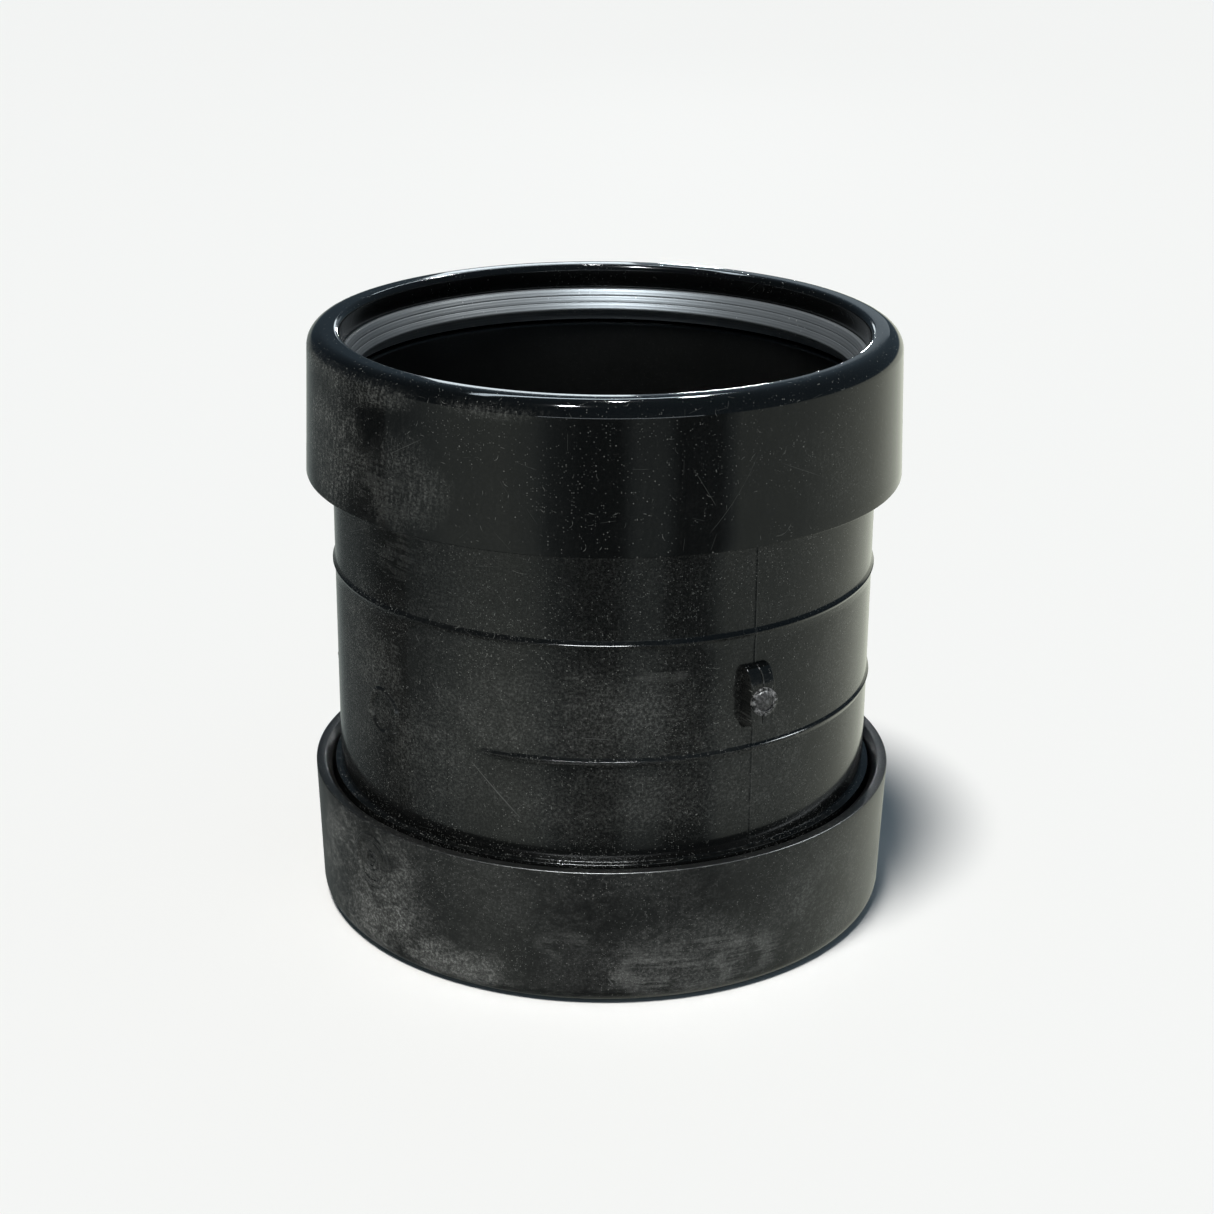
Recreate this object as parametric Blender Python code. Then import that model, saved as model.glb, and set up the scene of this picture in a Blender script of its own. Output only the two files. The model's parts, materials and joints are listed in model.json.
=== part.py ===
"""Push-fit coupling for 110 mm soil pipe: a turned barrel with a bell at each end, a rubber ring
seal seated in each bell, and a cap that snaps over each bell and keeps its seal in.

The coupling stands upright on its lower cap. +Z runs up its bore, and the origin is at the middle
of the face that it stands on. All sizes are in metres."""

import math

import bmesh
import bpy
from mathutils import Matrix, Vector

MM = 0.001
SEGMENTS = 64            # sides of every turned piece; a multiple of four keeps the box exact
CLEARANCE = 0.3 * MM     # kept between pieces that touch on the real coupling

# Barrel
HEIGHT = 129.0 * MM          # over both caps
BORE_RADIUS = 55.4 * MM      # a 110 mm pipe slides in with 0.4 mm all round
BARREL_RADIUS = 58.7 * MM
BELL_RADIUS = 60.0 * MM      # outside of the thicker end that a cap goes over
SHOULDER_HEIGHT = 2.5 * MM   # slope between bell and barrel
SHOULDER_TO_CAP = 0.3 * MM   # the bell ends just clear of the cap's free edge
STOP_RADIUS = 53.7 * MM      # low ridge half way down the bore that the two pipes meet
STOP_HALF_WIDTH = 1.5 * MM
BORE_CHAMFER = 0.8 * MM

# Seal housing, turned into each bell
HOUSING_RADIUS = 57.9 * MM
HOUSING_DEPTH = 8.0 * MM

# Snap: a groove round the bell and a bead inside the cap's skirt
SNAP_FROM_FACE = 18.0 * MM
SNAP_HALF_WIDTH = 1.2 * MM
SNAP_DEPTH = 0.6 * MM

# Beads round the middle of the barrel, which mark how far a pipe goes in
BEAD_HEIGHTS = {"upper": 78.0 * MM, "lower": 53.0 * MM}
BEAD_PROUD = 0.6 * MM
BEAD_STEEP = 0.8 * MM        # length of the steep side, which faces the nearer cap
BEAD_RAMP = 1.6 * MM         # length of the long side, which faces the middle

# Gate lug on the barrel, with the stub of the moulding sprue
LUG_TURN = math.radians(-58.5)
LUG_WIDTH = 5.6 * MM
LUG_ROOT = (57.7 * MM, 71.1 * MM)    # lowest and highest point where it meets the barrel
LUG_FACE = (59.9 * MM, 69.6 * MM)    # the same on its outer face
LUG_OUT = 62.2 * MM
SPRUE_RADIUS = 2.9 * MM
SPRUE_HEIGHT = 64.2 * MM
SPRUE_OUT = 63.4 * MM

# Cap
CAP_HEIGHT = 30.8 * MM
CAP_RADIUS = 63.2 * MM       # at the closed end
SKIRT_EDGE_RADIUS = 64.3 * MM
SKIRT_INNER_RADIUS = 60.8 * MM
MOUTH_RADIUS = 56.2 * MM
CAP_PLATE = 5.2 * MM         # thickness of the rolled end that holds the seal in
OUTER_ROUND = 3.4 * MM
INNER_ROUND = 2.6 * MM
SKIRT_CHAMFER = 1.4 * MM     # inside the free edge

# Seal
SEAL_HEIGHT = 7.4 * MM
SEAL_OUTER_RADIUS = HOUSING_RADIUS - CLEARANCE
SEAL_TOP_RADIUS = 55.4 * MM  # where the lip starts
SEAL_TIP_RADIUS = 53.5 * MM  # the pipe pushes the lip back from here
SEAL_TIP_DEPTH = 4.4 * MM
SEAL_LIP = 1.3 * MM          # thickness of the lip
SEAL_HEEL_DEPTH = 2.2 * MM   # where the lip's inner side meets the body
SEAL_BODY_RADIUS = 56.0 * MM

BELL_END = CAP_PLATE + CLEARANCE                # the bell stops this far from the cap's face
HOUSING_LEDGE = BELL_END + HOUSING_DEPTH
SHOULDER_TOP = CAP_HEIGHT - SHOULDER_TO_CAP


def clear_scene():
    """Start from an empty file."""
    for item in list(bpy.data.objects):
        bpy.data.objects.remove(item, do_unlink=True)


def plastic(name, colour, roughness):
    """A moulded finish with one colour and one roughness."""
    material = bpy.data.materials.new(name)
    material.use_nodes = True
    shader = material.node_tree.nodes["Principled BSDF"]
    shader.inputs["Base Color"].default_value = (*colour, 1.0)
    shader.inputs["Roughness"].default_value = roughness
    shader.inputs["Metallic"].default_value = 0.0
    return material


def arc(centre, radius, start, end, steps):
    """Points of a round corner in a (radius, height) outline; angles are in degrees."""
    angles = [math.radians(start + (end - start) * step / steps) for step in range(steps + 1)]
    return [
        (centre[0] + radius * math.cos(angle), centre[1] + radius * math.sin(angle))
        for angle in angles
    ]


def turned(outline):
    """Spin a closed (radius, height) outline once round Z into a ring with its faces outwards."""
    mesh = bmesh.new()
    corners = [mesh.verts.new((radius, 0.0, height)) for radius, height in outline]
    edges = [mesh.edges.new(pair) for pair in zip(corners, corners[1:] + corners[:1])]
    bmesh.ops.spin(
        mesh, geom=corners + edges, cent=(0, 0, 0), axis=(0, 0, 1), dvec=(0, 0, 0),
        angle=math.tau, steps=SEGMENTS, use_merge=True,
    )
    bmesh.ops.remove_doubles(mesh, verts=mesh.verts, dist=0.00001)
    bmesh.ops.recalc_face_normals(mesh, faces=mesh.faces)
    return mesh


def finished(name, mesh, material):
    """Put a mesh in an object of its own, smooth across its round faces and sharp at its edges."""
    data = bpy.data.meshes.new(name)
    mesh.to_mesh(data)
    mesh.free()
    data.shade_smooth()
    data.set_sharp_from_angle(angle=math.radians(35))
    data.materials.append(material)
    item = bpy.data.objects.new(name, data)
    bpy.context.scene.collection.objects.link(item)
    return item


def hidden(item):
    """Mark an object as a tool that only shapes another object."""
    item.hide_render = True
    item.display_type = "WIRE"
    return item


def bell_outline():
    """Outside and inside of one bell, from the barrel's wall round its end and down to the bore.
    Heights are from the cap's end face."""
    return [
        (BARREL_RADIUS, SHOULDER_TOP + SHOULDER_HEIGHT),
        (BELL_RADIUS, SHOULDER_TOP),
        (BELL_RADIUS, SNAP_FROM_FACE + SNAP_HALF_WIDTH),
        (BELL_RADIUS - SNAP_DEPTH, SNAP_FROM_FACE + SNAP_HALF_WIDTH - SNAP_DEPTH),
        (BELL_RADIUS - SNAP_DEPTH, SNAP_FROM_FACE - SNAP_HALF_WIDTH + SNAP_DEPTH),
        (BELL_RADIUS, SNAP_FROM_FACE - SNAP_HALF_WIDTH),
        (BELL_RADIUS, BELL_END),
        (HOUSING_RADIUS, BELL_END),
        (HOUSING_RADIUS, HOUSING_LEDGE),
        (BORE_RADIUS + BORE_CHAMFER, HOUSING_LEDGE),
        (BORE_RADIUS, HOUSING_LEDGE + BORE_CHAMFER),
    ]


def bead_outline(height, way):
    """One bead, listed upwards: its steep side faces along way, +1 for up and -1 for down."""
    points = [
        (BARREL_RADIUS, height + way * BEAD_STEEP),
        (BARREL_RADIUS + BEAD_PROUD, height),
        (BARREL_RADIUS + BEAD_PROUD / 4, height - way * BEAD_RAMP),
        (BARREL_RADIUS, height - way * (BEAD_RAMP + BEAD_PROUD / 4)),
    ]
    return points[::-1] if way > 0 else points


def barrel_outline():
    """The whole section of the barrel as one closed loop."""
    lower = bell_outline()
    upper = [(radius, HEIGHT - height) for radius, height in lower]
    middle = HEIGHT / 2
    stop = [
        (BORE_RADIUS, middle + STOP_HALF_WIDTH + BORE_CHAMFER),
        (STOP_RADIUS, middle + STOP_HALF_WIDTH),
        (STOP_RADIUS, middle - STOP_HALF_WIDTH),
        (BORE_RADIUS, middle - STOP_HALF_WIDTH - BORE_CHAMFER),
    ]
    beads = bead_outline(BEAD_HEIGHTS["lower"], -1) + bead_outline(BEAD_HEIGHTS["upper"], 1)
    return beads + upper + stop + lower[::-1]


def lug_block():
    """A block that stands out of the barrel and tapers at its top and bottom."""
    root = BARREL_RADIUS - 1.5 * MM
    side = [
        (root, LUG_ROOT[0]),
        (BARREL_RADIUS, LUG_ROOT[0]),
        (LUG_OUT, LUG_FACE[0]),
        (LUG_OUT, LUG_FACE[1]),
        (BARREL_RADIUS, LUG_ROOT[1]),
        (root, LUG_ROOT[1]),
    ]
    mesh = bmesh.new()
    corners = [mesh.verts.new((out, -LUG_WIDTH / 2, height)) for out, height in side]
    face = mesh.faces.new(corners)
    pulled = bmesh.ops.extrude_face_region(mesh, geom=[face])
    moved = [item for item in pulled["geom"] if isinstance(item, bmesh.types.BMVert)]
    bmesh.ops.translate(mesh, verts=moved, vec=(0, LUG_WIDTH, 0))
    bmesh.ops.recalc_face_normals(mesh, faces=mesh.faces)
    return mesh


def sprue_stub():
    """The round stub where the sprue was snapped off the lug's outer face."""
    length = SPRUE_OUT - LUG_OUT + 1.0 * MM
    centre = Vector((SPRUE_OUT - length / 2, 0, SPRUE_HEIGHT))
    place = Matrix.Translation(centre) @ Matrix.Rotation(math.pi / 2, 4, "Y")
    mesh = bmesh.new()
    bmesh.ops.create_cone(
        mesh, cap_ends=True, segments=16, radius1=SPRUE_RADIUS, radius2=SPRUE_RADIUS - 0.3 * MM,
        depth=length, matrix=place,
    )
    return mesh


def joined(item, tool):
    """Join a tool object to a piece, as one solid."""
    union = item.modifiers.new(tool.name, "BOOLEAN")
    union.operation = "UNION"
    union.object = hidden(tool)


def make_barrel(material):
    """Barrel, both bells, both beads, and the lug with its stub."""
    barrel = finished("barrel", turned(barrel_outline()), material)
    for name, mesh in (("lug_tool", lug_block()), ("sprue_tool", sprue_stub())):
        tool = finished(name, mesh, material)
        tool.rotation_euler.z = LUG_TURN
        joined(barrel, tool)
    return barrel


def cap_outline():
    """Section of a cap that lies on its end face, with its skirt standing up."""
    edge_inner = SKIRT_INNER_RADIUS + SKIRT_CHAMFER
    bead_radius = BELL_RADIUS + CLEARANCE
    bead_slope = SKIRT_INNER_RADIUS - bead_radius
    mouth_round = arc((MOUTH_RADIUS + INNER_ROUND, INNER_ROUND), INNER_ROUND, 180, 270, 4)
    lip_round = arc((CAP_RADIUS - OUTER_ROUND, OUTER_ROUND), OUTER_ROUND, 270, 360, 5)
    skirt = [
        (SKIRT_EDGE_RADIUS, CAP_HEIGHT),
        (edge_inner, CAP_HEIGHT),
        (SKIRT_INNER_RADIUS, CAP_HEIGHT - SKIRT_CHAMFER),
        (SKIRT_INNER_RADIUS, SNAP_FROM_FACE + SNAP_HALF_WIDTH),
        (bead_radius, SNAP_FROM_FACE + SNAP_HALF_WIDTH - bead_slope),
        (bead_radius, SNAP_FROM_FACE - SNAP_HALF_WIDTH + bead_slope),
        (SKIRT_INNER_RADIUS, SNAP_FROM_FACE - SNAP_HALF_WIDTH),
        (SKIRT_INNER_RADIUS, CAP_PLATE),
        (MOUTH_RADIUS, CAP_PLATE),
    ]
    return mouth_round + lip_round + skirt


def seal_outline():
    """Section of a seal that lies on its outer end: a body in the housing, and a lip that leans in."""
    tip_round = SEAL_LIP / 2
    tip_centre = Vector((SEAL_TIP_RADIUS + tip_round, SEAL_TIP_DEPTH))
    along_lip = Vector((SEAL_TIP_RADIUS - SEAL_TOP_RADIUS, SEAL_TIP_DEPTH))
    inward = math.degrees(math.atan2(-along_lip.x, along_lip.y)) + 180
    tip = arc(tip_centre, tip_round, inward, inward - 180, 4)
    body = [
        (SEAL_BODY_RADIUS, SEAL_HEEL_DEPTH),
        (SEAL_BODY_RADIUS, SEAL_HEIGHT),
        (SEAL_OUTER_RADIUS, SEAL_HEIGHT),
        (SEAL_OUTER_RADIUS, 0.0),
    ]
    return [(SEAL_TOP_RADIUS, 0.0)] + tip + body


def end_pieces(kind, outline, from_face, material):
    """The same piece at both ends: as made at the lower end, and turned over at the upper."""
    lower = finished("lower_" + kind, turned(outline), material)
    lower.location.z = from_face
    upper = bpy.data.objects.new("upper_" + kind, lower.data)
    bpy.context.scene.collection.objects.link(upper)
    upper.location.z = HEIGHT - from_face
    upper.rotation_euler.x = math.pi
    return lower, upper


def main():
    clear_scene()
    make_barrel(plastic("barrel_plastic", (0.030, 0.031, 0.031), 0.34))
    end_pieces("cap", cap_outline(), 0.0, plastic("cap_plastic", (0.024, 0.025, 0.027), 0.22))
    end_pieces("seal", seal_outline(), BELL_END, plastic("seal_rubber", (0.32, 0.33, 0.34), 0.40))


main()
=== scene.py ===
# %% [markdown]
# # A push-fit soil pipe coupling
# The real thing is a short length of black pipe with a thicker bell at each end. A grey rubber ring
# sits in each bell, and a black cap pushed over the bell keeps it there. This lesson builds each of
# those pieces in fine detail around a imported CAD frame, and then gives each its own worn finish.
# The frame comes first, because every size below is taken from it or checked against it.

# %% Load the frame
import json
import math

import bmesh
import bpy
from mathutils import Matrix, Quaternion, Vector, noise

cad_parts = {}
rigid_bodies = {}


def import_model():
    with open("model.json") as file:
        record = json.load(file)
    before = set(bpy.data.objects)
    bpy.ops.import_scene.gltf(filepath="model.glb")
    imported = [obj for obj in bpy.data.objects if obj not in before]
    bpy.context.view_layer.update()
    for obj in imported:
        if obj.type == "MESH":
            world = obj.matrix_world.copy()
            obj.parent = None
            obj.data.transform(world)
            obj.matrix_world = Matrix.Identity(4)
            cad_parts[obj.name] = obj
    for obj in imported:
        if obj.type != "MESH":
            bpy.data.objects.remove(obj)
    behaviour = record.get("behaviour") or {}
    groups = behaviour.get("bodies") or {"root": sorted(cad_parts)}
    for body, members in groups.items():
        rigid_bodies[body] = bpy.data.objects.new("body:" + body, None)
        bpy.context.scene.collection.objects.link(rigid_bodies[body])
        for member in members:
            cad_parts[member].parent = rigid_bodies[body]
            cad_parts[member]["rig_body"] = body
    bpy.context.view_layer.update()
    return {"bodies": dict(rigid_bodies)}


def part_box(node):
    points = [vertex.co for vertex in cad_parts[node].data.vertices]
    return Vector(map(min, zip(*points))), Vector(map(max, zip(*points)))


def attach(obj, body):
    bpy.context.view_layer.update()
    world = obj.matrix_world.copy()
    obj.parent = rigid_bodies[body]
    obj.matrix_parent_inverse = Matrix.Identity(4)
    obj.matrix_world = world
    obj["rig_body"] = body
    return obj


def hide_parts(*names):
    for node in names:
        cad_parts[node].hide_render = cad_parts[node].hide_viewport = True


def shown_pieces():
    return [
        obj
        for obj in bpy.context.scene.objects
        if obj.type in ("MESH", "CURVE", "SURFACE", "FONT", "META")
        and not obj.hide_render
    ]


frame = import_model()

# %% [markdown]
# ## Sizes
# Blender works in metres, but a moulding is thought of in millimetres, so one constant converts.
# The height and the caps' radii come from the frame's own boxes. The others repeat the CAD sections,
# because a section can't be read back from a box.

# %% Sizes of the coupling
MM = 0.001
UPPER_CAP_LOW, UPPER_CAP_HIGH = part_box("upper_cap")
LOWER_CAP_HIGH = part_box("lower_cap")[1]
HEIGHT = UPPER_CAP_HIGH.z
CAP_HEIGHT = LOWER_CAP_HIGH.z
SKIRT_EDGE_RADIUS = LOWER_CAP_HIGH.x
BELL_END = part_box("barrel")[0].z
SEAL_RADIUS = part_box("upper_seal")[1].x
BARREL_RADIUS = 58.7 * MM
BELL_RADIUS = 60.0 * MM
BORE_RADIUS = 55.4 * MM
CAP_RADIUS = 63.2 * MM
BEADS = {"upper": 78.0 * MM, "lower": 53.0 * MM}
LUG_TURN = math.radians(-58.5)
print(f"height {HEIGHT / MM:.1f} mm, cap depth {CAP_HEIGHT / MM:.1f} mm, bell end {BELL_END / MM:.1f} mm")

# %% [markdown]
# ## Camera
# The coupling is looked at from a little above, half a metre away. A long lens keeps its sides nearly
# parallel. The camera is turned about its own axes by matrices, which read in the order that a
# photographer would make the turns: a slight roll, then the tilt down, then the turn to the side.

# %% Camera
def in_scene(name, data):
    thing = bpy.data.objects.new(name, data)
    bpy.context.scene.collection.objects.link(thing)
    return thing


CAMERA_BACK = 505.9 * MM
CAMERA_UP = 253.3 * MM
TILT, TURN, ROLL = (math.radians(angle) for angle in (20.48, 0.103, 0.514))
LENS, SENSOR = 72.09, 36.0
camera = in_scene("camera", bpy.data.cameras.new("camera"))
camera.data.sensor_width = SENSOR
camera.data.lens = LENS
camera.data.clip_start = 0.01
camera.matrix_world = (
    Matrix.Translation((0.0, -CAMERA_BACK, CAMERA_UP))
    @ Matrix.Rotation(-TURN, 4, "Z")
    @ Matrix.Rotation(math.pi / 2 - TILT, 4, "X")
    @ Matrix.Rotation(ROLL, 4, "Z")
)
bpy.context.scene.camera = camera
print("camera stands", round((CAMERA_BACK**2 + CAMERA_UP**2) ** 0.5, 3), "m from the foot of the coupling")

# %% [markdown]
# ## Turning a section
# Every main piece is round, as if made on a lathe. Its section is drawn once, beside the axis, as a
# closed loop of corners. Bevelling a corner of a loop that has no faces yet rounds it like a fillet,
# so each corner carries its own rounding. A spin then sweeps the loop round the axis, and merges the
# last step with the first.

# %% A rounded section
STEPS = 256
MERGE_WITHIN = 0.000004


def section(corners):
    """A closed loop of (radius, height, rounding, segments) corners; a rounding of 0 stays sharp."""
    mesh = bmesh.new()
    points = [mesh.verts.new((radius, 0.0, height)) for radius, height, _, _ in corners]
    for start, end in zip(points, points[1:] + points[:1]):
        mesh.edges.new((start, end))
    for point, (_, _, rounding, segments) in zip(points, corners):
        if rounding:
            bmesh.ops.bevel(mesh, geom=[point], affect="VERTICES", offset_type="OFFSET",
                            offset=rounding, segments=segments, profile=0.5, material=-1)
    return mesh


def sharp(radius, height):
    return (radius, height, 0.0, 1)


def soft(radius, height, rounding=0.3, segments=4):
    """A corner whose rounding is given in millimetres."""
    return (radius, height, rounding * MM, segments)


def turned(mesh, steps=STEPS):
    """Spin a section once round the axis and face it outwards."""
    bmesh.ops.spin(mesh, geom=mesh.verts[:] + mesh.edges[:], cent=(0, 0, 0), axis=(0, 0, 1),
                   dvec=(0, 0, 0), angle=math.tau, steps=steps, use_merge=True)
    bmesh.ops.remove_doubles(mesh, verts=mesh.verts, dist=MERGE_WITHIN)
    bmesh.ops.recalc_face_normals(mesh, faces=mesh.faces)
    return mesh


# %% [markdown]
# ## Cutting long strips
# A section with one long straight side gives long thin faces, which are too few to hold a small dent
# or the warp of a cooled moulding. Flat cuts across the piece add rings of points where they are
# wanted, without changing its shape.

# %% Rings of cuts
CUT_SNAP = 0.0000005


def cut(mesh, point, direction):
    """Add points where a plane crosses the mesh."""
    geometry = mesh.verts[:] + mesh.edges[:] + mesh.faces[:]
    bmesh.ops.bisect_plane(mesh, geom=geometry, dist=CUT_SNAP, plane_co=point, plane_no=direction)


def ring_cuts(mesh, heights):
    for height in heights:
        cut(mesh, (0, 0, height), (0, 0, 1))
    return mesh


def every(start, end, count):
    return [start + (end - start) * (step + 1) / (count + 1) for step in range(count)]


# %% [markdown]
# ## The warp of a moulding
# Moulded plastic shrinks as it cools, a little more here than there, so a reflection on it wavers.
# A smooth noise moves each point in or out by a few hundredths of a millimetre. It is real shape and
# not a bump map, so it shows from every side.

# %% Warp
def outward(point):
    return Vector((point.x, point.y, 0.0)).normalized()


def warped(mesh, amount, size, seed):
    for vert in mesh.verts:
        vert.co += outward(vert.co) * amount * noise.noise(vert.co / size + Vector((seed, 0.0, 0.0)))
    return mesh


# %% [markdown]
# ## What a finish needs to know
# Dust and scratches lie on the surface, so their pattern has to follow it. Each piece gets a UV map
# named skin, in metres: the way round the piece, and the way along its section. It also gets a number
# named edge, which is high where the surface turns a sharp corner and hands wear it first.

# %% Skin map and edge mask
SKIN_RADIUS = 60.0 * MM
WORN_ANGLE = math.radians(25)
FLAT_NORMAL = 0.7


def way_round(point):
    return math.atan2(point.y, point.x)


def map_skin(mesh):
    skin = mesh.loops.layers.uv.new("skin")
    for face in mesh.faces:
        middle = way_round(face.calc_center_median())
        flat = abs(face.normal.z) > FLAT_NORMAL
        for loop in face.loops:
            point = loop.vert.co
            turn = way_round(point)
            turn += math.tau * round((middle - turn) / math.tau)
            along = -point.xy.length if flat else point.z
            loop[skin].uv = (turn * SKIN_RADIUS, along)


def mark_edges(mesh):
    edge_mask = mesh.verts.layers.float.new("edge")
    for vert in mesh.verts:
        angles = [abs(edge.calc_face_angle(0.0)) for edge in vert.link_edges]
        vert[edge_mask] = min(1.0, max(angles, default=0.0) / WORN_ANGLE)


def finished(name, mesh, body, smooth_angle=40):
    """Put a mesh in an object of its own that rides on a CAD body."""
    mesh.normal_update()
    map_skin(mesh)
    mark_edges(mesh)
    data = bpy.data.meshes.new(name)
    mesh.to_mesh(data)
    mesh.free()
    data.shade_smooth()
    data.set_sharp_from_angle(angle=math.radians(smooth_angle))
    piece = in_scene(name, data)
    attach(piece, body)
    print(f"{name}: {len(data.polygons)} faces")
    return piece


# %% [markdown]
# ## Barrel
# The barrel is one moulding: a plain tube, a bell at each end, and two low beads that mark how far a
# pipe goes in. Each bell holds a seat for the rubber ring, and a groove that the cap springs into.
# The section runs up the outside and down the bore. The upper bell is the lower one turned over, so
# its corners are worked out from the same list. The lower bead stops part of the way round, which a
# spin can't do, so it is a ring of its own.

# %% Section of the barrel
SHOULDER_TOP = CAP_HEIGHT - 0.3 * MM
SHOULDER_FOOT = SHOULDER_TOP + 0.1 * MM
HOUSING_RADIUS = SEAL_RADIUS + 0.3 * MM
HOUSING_LEDGE = BELL_END + 8.0 * MM
GROOVE_HEIGHT, GROOVE_HALF, GROOVE_DEPTH = 18.0 * MM, 1.2 * MM, 0.6 * MM
STOP_RADIUS, STOP_HALF = 53.7 * MM, 1.5 * MM
BEAD_PROUD, BEAD_ROOT = 0.58 * MM, 0.25 * MM


def bell_corners():
    """One bell, from the tube's wall round its end and in to the bore."""
    return [
        soft(BARREL_RADIUS, SHOULDER_FOOT, 0.1, 3),
        soft(BELL_RADIUS, SHOULDER_TOP, 0.12, 4),
        soft(BELL_RADIUS, GROOVE_HEIGHT + GROOVE_HALF, 0.1, 2),
        soft(BELL_RADIUS - GROOVE_DEPTH, GROOVE_HEIGHT + GROOVE_HALF - GROOVE_DEPTH, 0.2, 3),
        soft(BELL_RADIUS - GROOVE_DEPTH, GROOVE_HEIGHT - GROOVE_HALF + GROOVE_DEPTH, 0.2, 3),
        soft(BELL_RADIUS, GROOVE_HEIGHT - GROOVE_HALF, 0.1, 2),
        soft(BELL_RADIUS, BELL_END, 0.4),
        soft(HOUSING_RADIUS, BELL_END, 0.3),
        soft(HOUSING_RADIUS, HOUSING_LEDGE, 0.2, 3),
        soft(BORE_RADIUS, HOUSING_LEDGE, 0.7),
    ]


def upper_bead_corners():
    """Listed upwards: a long gentle side below, and a steep side above."""
    height = BEADS["upper"]
    return [
        soft(BARREL_RADIUS, height - 2.2 * MM, 0.3, 3),
        soft(BARREL_RADIUS + 0.2 * MM, height - 0.6 * MM, 0.2, 4),
        soft(BARREL_RADIUS + BEAD_PROUD, height + 0.05 * MM, 0.10, 4),
        soft(BARREL_RADIUS + 0.40 * MM, height + 0.21 * MM, 0.05, 3),
        soft(BARREL_RADIUS, height + 0.95 * MM, 0.1, 3),
    ]


def lower_bead_ring():
    """A ring of its own, rooted in the wall, with a fatter crest."""
    height = BEADS["lower"]
    return turned(section([
        sharp(BARREL_RADIUS - BEAD_ROOT, height - 1.5 * MM),
        sharp(BARREL_RADIUS - 0.03 * MM, height - 1.5 * MM),
        soft(BARREL_RADIUS + 0.25 * MM, height - 0.60 * MM, 0.2, 4),
        soft(BARREL_RADIUS + BEAD_PROUD, height - 0.10 * MM, 0.22, 5),
        soft(BARREL_RADIUS + 0.34 * MM, height + 0.11 * MM, 0.08, 4),
        sharp(BARREL_RADIUS - 0.03 * MM, height + 0.70 * MM),
        sharp(BARREL_RADIUS - BEAD_ROOT, height + 0.70 * MM),
    ]))


def barrel_section():
    lower_bell = bell_corners()
    upper_bell = [(radius, HEIGHT - height, *rest) for radius, height, *rest in lower_bell]
    middle = HEIGHT / 2
    stop = [
        soft(BORE_RADIUS, middle + STOP_HALF + 0.8 * MM),
        soft(STOP_RADIUS, middle + STOP_HALF),
        soft(STOP_RADIUS, middle - STOP_HALF),
        soft(BORE_RADIUS, middle - STOP_HALF - 0.8 * MM),
    ]
    return section(upper_bead_corners() + upper_bell + stop + lower_bell[::-1])


# %% [markdown]
# ### What makes it a moulding
# The tube's outside comes from a mould in two halves. Where they meet, a hair of plastic squeezes out,
# and one half sits a few hundredths of a millimetre off the other. Three cuts through the axis give
# the seam its own points: the middle ones are raised into a thin ridge, and everything beyond is
# shifted. The lower bead dies away on the left, where the mould has a flat panel: its points there
# are drawn in until they are just under the wall.

# %% Mould seam and interrupted bead
SEAM_HALF = 0.12 * MM
SEAM_PROUD = 0.012 * MM
SEAM_SHIFT = 0.06 * MM
SEAM_DIRECTION = Vector((math.cos(LUG_TURN), math.sin(LUG_TURN), 0.0))
SEAM_ACROSS = Vector((-SEAM_DIRECTION.y, SEAM_DIRECTION.x, 0.0))
PANEL = (math.radians(-178), math.radians(-114))
PANEL_FADE = math.radians(4)
PANEL_SINK = 0.05 * MM
BARREL_WARP = {"amount": 0.035 * MM, "size": 22 * MM, "seed": 3.0}


def smooth_step(low, high, value):
    share = min(1.0, max(0.0, (value - low) / (high - low)))
    return share * share * (3 - 2 * share)


def mould_seam(mesh):
    for offset in (-SEAM_HALF, 0.0, SEAM_HALF):
        cut(mesh, SEAM_ACROSS * offset, SEAM_ACROSS)
    for vert in mesh.verts:
        if vert.co.xy.length < HOUSING_RADIUS + 0.3 * MM:
            continue
        across = vert.co.dot(SEAM_ACROSS)
        if abs(across) < SEAM_HALF / 2:
            vert.co += outward(vert.co) * SEAM_PROUD
        if across > -SEAM_HALF / 2:
            vert.co += SEAM_DIRECTION * SEAM_SHIFT
    return mesh


def fade_bead(mesh):
    for vert in mesh.verts:
        radius = vert.co.xy.length
        if radius <= BARREL_RADIUS:
            continue
        turn = way_round(vert.co)
        inside = (smooth_step(PANEL[0] - PANEL_FADE, PANEL[0] + PANEL_FADE, turn)
                  * (1 - smooth_step(PANEL[1] - PANEL_FADE, PANEL[1] + PANEL_FADE, turn)))
        wanted = BARREL_RADIUS + (radius - BARREL_RADIUS) * (1 - inside) - PANEL_SINK * inside
        vert.co.xy *= wanted / radius
    return mesh


barrel_mesh = turned(barrel_section())
wall_cuts = every(SHOULDER_FOOT, BEADS["lower"] - 1 * MM, 6) + every(56 * MM, 75 * MM, 6)
wall_cuts += every(BEADS["upper"] + 1 * MM, HEIGHT - SHOULDER_FOOT, 6)
ring_cuts(barrel_mesh, wall_cuts)
mould_seam(barrel_mesh)
warped(barrel_mesh, **BARREL_WARP)
barrel = finished("barrel_tube", barrel_mesh, "barrel")
lower_bead = finished("lower_bead", warped(fade_bead(lower_bead_ring()), **BARREL_WARP), "barrel")

# %% [markdown]
# ## Small marks wrapped round the tube
# The round mark, the gate marks and the line of a mould insert are low relief on a curved wall. It is
# easiest to make each one flat, lying in X and Y with Z as its height, and then to bend it round the
# wall: X becomes the way round, Y the way up, and Z the way out.

# %% Bending a flat mark round a wall
SUNK = 0.25 * MM


def wrapped(mesh, turn, height, radius_at):
    for vert in mesh.verts:
        across, up, proud = vert.co
        radius = radius_at(height + up)
        angle = turn + across / radius
        vert.co = ((radius + proud) * math.cos(angle), (radius + proud) * math.sin(angle), height + up)
    bmesh.ops.recalc_face_normals(mesh, faces=mesh.faces)
    return mesh


def tube_wall(height):
    return BARREL_RADIUS


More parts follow.
